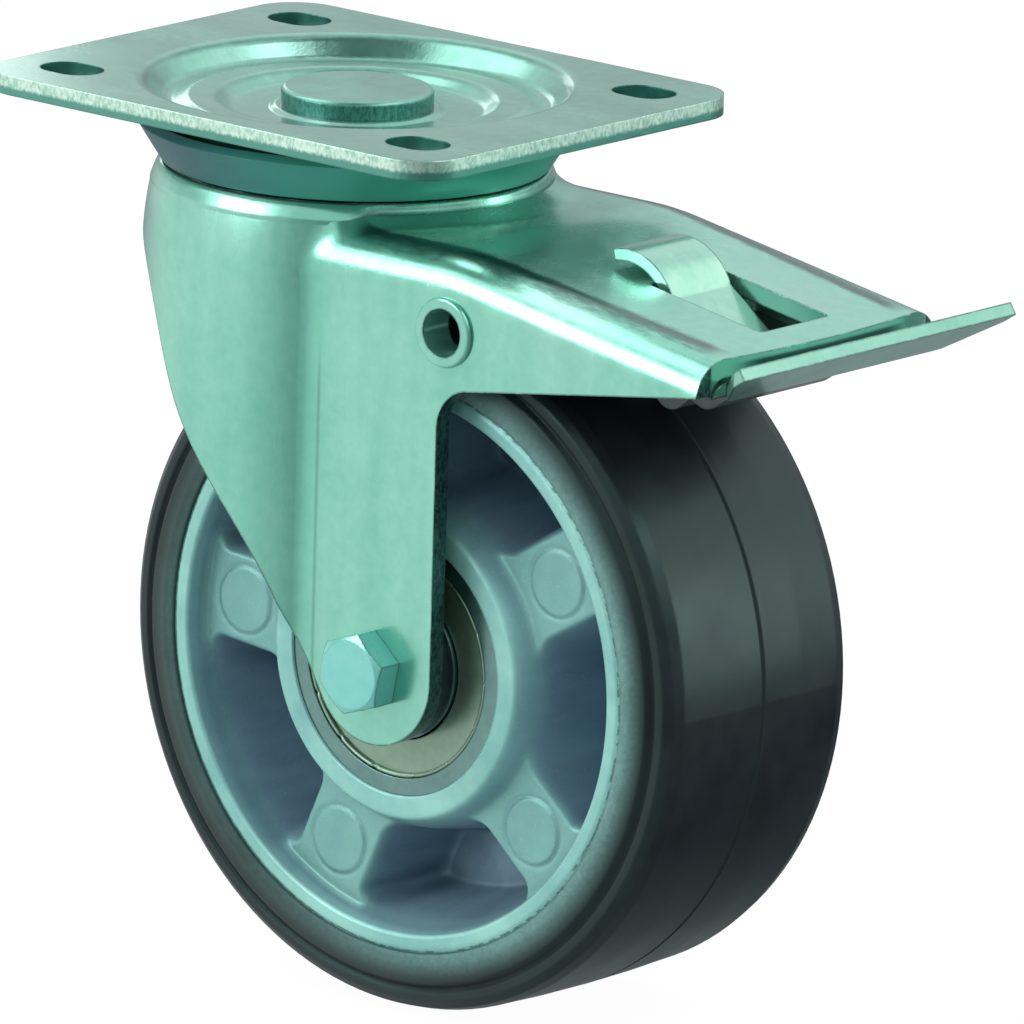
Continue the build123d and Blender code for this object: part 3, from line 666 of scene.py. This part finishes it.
def cast_body():
    """Sections from the bore out over the near face, then back over the far face."""
    angles = np.arange(BODY_STEPS) * 2 * math.pi / BODY_STEPS
    radii = np.linspace(HUB_BORE, BODY_RADIUS, FACE_STEPS)
    grid_r, grid_a = np.meshgrid(radii, angles, indexing="ij")
    height = face_height(grid_r, grid_a)
    points = []
    for radius, y in zip(np.vstack((grid_r, grid_r[::-1])), np.vstack((-height, height[::-1]))):
        x = WHEEL_X + radius * np.cos(angles) * MM
        z = WHEEL_Z + radius * np.sin(angles) * MM
        points.extend(zip(x.tolist(), (y * MM).tolist(), z.tolist()))
    return piece("rim_body", points, BODY_STEPS, "wheel", "rim_aluminium")


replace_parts(cast_body(), "rim")


# Rolled edge of each bearing shield, with its small notches, in millimetres
CRIMP_RADIUS = 19.95
CRIMP_FACE = 24.35
CRIMP_HALF_WIDTH = 0.42
CRIMP_HALF_RISE = 0.36
CRIMP_STEPS = 320
CRIMP_CORNERS = 8
NOTCHES = 14
NOTCH_PITCH = 2 * math.pi * 20 / NOTCHES
NOTCH_DEPTH = 0.32
NOTCH_HALF = 0.35


def crimp_ring(name, side):
    """The ring on one side of the wheel, -1 for the near one."""
    points = []
    for step in range(CRIMP_STEPS):
        angle = 2 * math.pi * step / CRIMP_STEPS
        gap = (angle * NOTCHES / (2 * math.pi) + 0.5) % 1.0 - 0.5
        dip = NOTCH_DEPTH * math.exp(-(gap * NOTCH_PITCH / NOTCH_HALF) ** 2)
        for corner in range(CRIMP_CORNERS):
            bend = 2 * math.pi * corner / CRIMP_CORNERS
            radius = CRIMP_RADIUS + CRIMP_HALF_WIDTH * math.cos(bend)
            y = CRIMP_FACE - dip + CRIMP_HALF_RISE * math.sin(bend)
            points.append((
                WHEEL_X + radius * math.cos(angle) * MM,
                side * y * MM,
                WHEEL_Z + radius * math.sin(angle) * MM,
            ))
    return piece(name, points, CRIMP_CORNERS, "wheel", "shield_steel")


crimp_ring("crimp_ring_near", -1)
crimp_ring("crimp_ring_far", 1)


# Edge of the fork's crown under the dust ring, in millimetres from the king pin's axis and above
# the origin: a raised lip towards the deck, and a soft shoulder on the other sides
LIP_RADIUS, LIP_HEIGHT, LIP_ROUND = 33.6, -15.1, 0.9
LIP_ARC = [
    (LIP_RADIUS + LIP_ROUND * math.cos(bend), LIP_HEIGHT + LIP_ROUND * math.sin(bend))
    for bend in (math.pi * (0.5 - index / 12) for index in range(7))
]
LIP_PROFILE = [(32.5, -16.2), (32.5, -14.9), *LIP_ARC, (34.6, -15.6), (34.9, -16.2)]
SHOULDER_PROFILE = [
    (32.5, -16.2), (32.5, -14.8), (33.0, -14.3), (33.9, -14.4), (34.5, -14.7), (34.9, -15.2),
    (35.25, -16.1), (35.6, -17.0), (35.9, -17.9), (35.4, -18.5), (34.9, -18.4),
]
LIP_REACH = math.radians(40)
LIP_FADE = math.radians(14)
LIP_STEPS = 240


def crown_lip():
    """One profile passes into the other as the ring turns away from the deck."""
    points = []
    for step in range(LIP_STEPS):
        angle = 2 * math.pi * step / LIP_STEPS
        off_deck = abs((angle + math.pi) % (2 * math.pi) - math.pi)
        plain = float(ease((off_deck - LIP_REACH) / LIP_FADE))
        for (r0, z0), (r1, z1) in zip(LIP_PROFILE, SHOULDER_PROFILE):
            radius = r0 + (r1 - r0) * plain
            z = z0 + (z1 - z0) * plain
            points.append((radius * math.cos(angle) * MM, radius * math.sin(angle) * MM, z * MM))
    return piece("crown_lip", points, len(LIP_PROFILE), "fork", "fork_zinc")


crown_lip()


# Floor: white by its own glow, with a little grey that the lamps light and the castor shades
FLOOR_HALF = 6.0
FLOOR_GAP = 0.2 * MM

mesh = bpy.data.meshes.new("floor")
corners = [(x * FLOOR_HALF, y * FLOOR_HALF, 0) for x, y in ((-1, -1), (1, -1), (1, 1), (-1, 1))]
mesh.from_pydata(corners, [], [(0, 1, 2, 3)])
floor = bpy.data.objects.new("floor", mesh)
floor.location = (0.0, 0.0, cad_box[0][2] - FLOOR_GAP)
bpy.context.scene.collection.objects.link(floor)
material, graph, shader, place, _ = surface("floor_pale")
grey = graph.mix(graph.noise(place, 3.0, 2.0), srgb(52, 54, 54), srgb(56, 58, 58))
even = {
    "Roughness": 0.9, "Specular IOR Level": 0.0,
    "Emission Color": (1.0, 1.0, 1.0, 1.0), "Emission Strength": 0.97,
}
dress(graph, shader, even, grey)
mesh.materials.append(material)
floor.visible_glossy = False
floor.visible_diffuse = False

# World: the studio that the metal mirrors, an even light on the object, white behind it
world = bpy.data.worlds.new("studio")
bpy.context.scene.world = world
world.use_nodes = True
graph = Graph(world.node_tree)
out = graph.add("ShaderNodeOutputWorld")
direction = graph.add("ShaderNodeTexCoord").outputs["Generated"]
height = graph.parts(direction)["Z"]


def towards(way, low, high):
    """How far the direction turns towards one side of the studio, 0 to 1."""
    return graph.smooth(graph.vector("DOT_PRODUCT", direction, way), low, high)


RIGHT_BACK = (0.64, 0.77, 0.0)
LEFT_FRONT = (-0.82, -0.57, 0.0)
SKY_RISE = (0.05, 0.5)
SKY_FOOT = (-0.35, -0.02)
FRONT_TOP = (0.0, 0.35)
PLAIN_EDGE = (0.3, -0.3)
HORIZON = (0.31, 0.35, 0.35, 1)
ZENITH = (0.92, 0.96, 0.96, 1)
GROUND = (0.36, 0.42, 0.43, 1)
DARK_GROUND = (0.06, 0.08, 0.09, 1)
FRONT = (1.02, 1.0, 0.98, 1)
PLAIN_LIGHT = (0.62, 0.64, 0.64, 1)
WHITE = (1, 1, 1, 1)
# Direction, soft edge, strength and colour of each card: a glow behind the pedal's side, a dark
# flag overhead, and a dark side next to the lens
CARDS = (
    ((0.50, 0.72, 0.47), (0.84, 0.98), 1.0, (1.4, 1.42, 1.38, 1)),
    ((0.18, -0.20, 0.96), (0.87, 0.94), 1.0, (0.03, 0.05, 0.05, 1)),
    ((0.80, -0.56, -0.22), (0.84, 0.95), 0.7, (0.12, 0.15, 0.16, 1)),
)

above = graph.mix(graph.smooth(height, *SKY_RISE), HORIZON, ZENITH)
below = graph.mix(towards(RIGHT_BACK, 0.1, 0.85), GROUND, DARK_GROUND)
sky = graph.mix(graph.smooth(height, *SKY_FOOT), below, above)
front = graph.times(towards(LEFT_FRONT, 0.25, 0.9), graph.fall(height, *FRONT_TOP))
sky = graph.mix(front, sky, FRONT)
for way, edge, strength, tone in CARDS:
    sky = graph.mix(graph.times(towards(way, *edge), strength), sky, tone)
paths = graph.add("ShaderNodeLightPath").outputs
plain = graph.mix(graph.smooth(height, *PLAIN_EDGE), sky, PLAIN_LIGHT)
sky = graph.mix(paths["Is Diffuse Ray"], sky, plain)
sky = graph.mix(paths["Is Camera Ray"], sky, WHITE)
shine = graph.add("ShaderNodeBackground", {"Color": sky, "Strength": 1.0})
graph.link(shine.outputs[0], out.inputs[0])


def softbox(name, place, aim, width, height, watts):
    lamp = bpy.data.lights.new(name, "AREA")
    lamp.shape = "RECTANGLE"
    lamp.size = width
    lamp.size_y = height
    lamp.energy = watts
    thing = bpy.data.objects.new(name, lamp)
    thing.location = place
    way = Vector(aim) - Vector(place)
    thing.rotation_euler = way.to_track_quat("-Z", "Y").to_euler()
    bpy.context.scene.collection.objects.link(thing)


MIDDLE = (0.03, 0.0, -0.07)
PLATE_CORNER = (-0.04, -0.04, 0.0)
softbox("top_left", (-0.75, -0.35, 0.95), MIDDLE, 0.8, 0.95, 3.8)
softbox("top_right", (0.85, 0.15, 0.85), MIDDLE, 0.8, 0.9, 5.6)
softbox("front", (-0.55, -1.05, 0.45), MIDDLE, 0.7, 0.6, 6.5)
softbox("behind", (-0.51, 0.38, 0.16), PLATE_CORNER, 0.14, 0.12, 0.09)
softbox("right", (0.75, 0.62, 0.0), MIDDLE, 0.16, 0.4, 1.0)


# Camera at the photograph's viewing angle
AZIMUTH = math.radians(40.376)
ELEVATION = math.radians(13.863)
ROLL = math.radians(1.576)
DISTANCE = 3094.151 * MM
AIM = Vector((37.948, 0.0, -70.666)) * MM
FOCAL_PIXELS = 17795.194
FRAME_PIXELS = 1024
SENSOR_WIDTH = 36.0
FAR_CLIP = 50.0

back = Vector((
    math.sin(AZIMUTH) * math.cos(ELEVATION),
    -math.cos(AZIMUTH) * math.cos(ELEVATION),
    math.sin(ELEVATION),
))
level = Vector((math.cos(AZIMUTH), math.sin(AZIMUTH), 0.0))
upright = back.cross(level)
right = level * math.cos(ROLL) + upright * math.sin(ROLL)
up = upright * math.cos(ROLL) - level * math.sin(ROLL)
lens = bpy.data.cameras.new("camera")
lens.sensor_width = SENSOR_WIDTH
lens.lens = FOCAL_PIXELS / FRAME_PIXELS * SENSOR_WIDTH
lens.clip_end = FAR_CLIP
camera = bpy.data.objects.new("camera", lens)
bpy.context.scene.collection.objects.link(camera)
place = AIM + back * DISTANCE
camera.matrix_world = Matrix((
    (right.x, up.x, back.x, place.x),
    (right.y, up.y, back.y, place.y),
    (right.z, up.z, back.z, place.z),
    (0, 0, 0, 1),
))
bpy.context.scene.camera = camera
bpy.context.scene.view_settings.view_transform = "Standard"
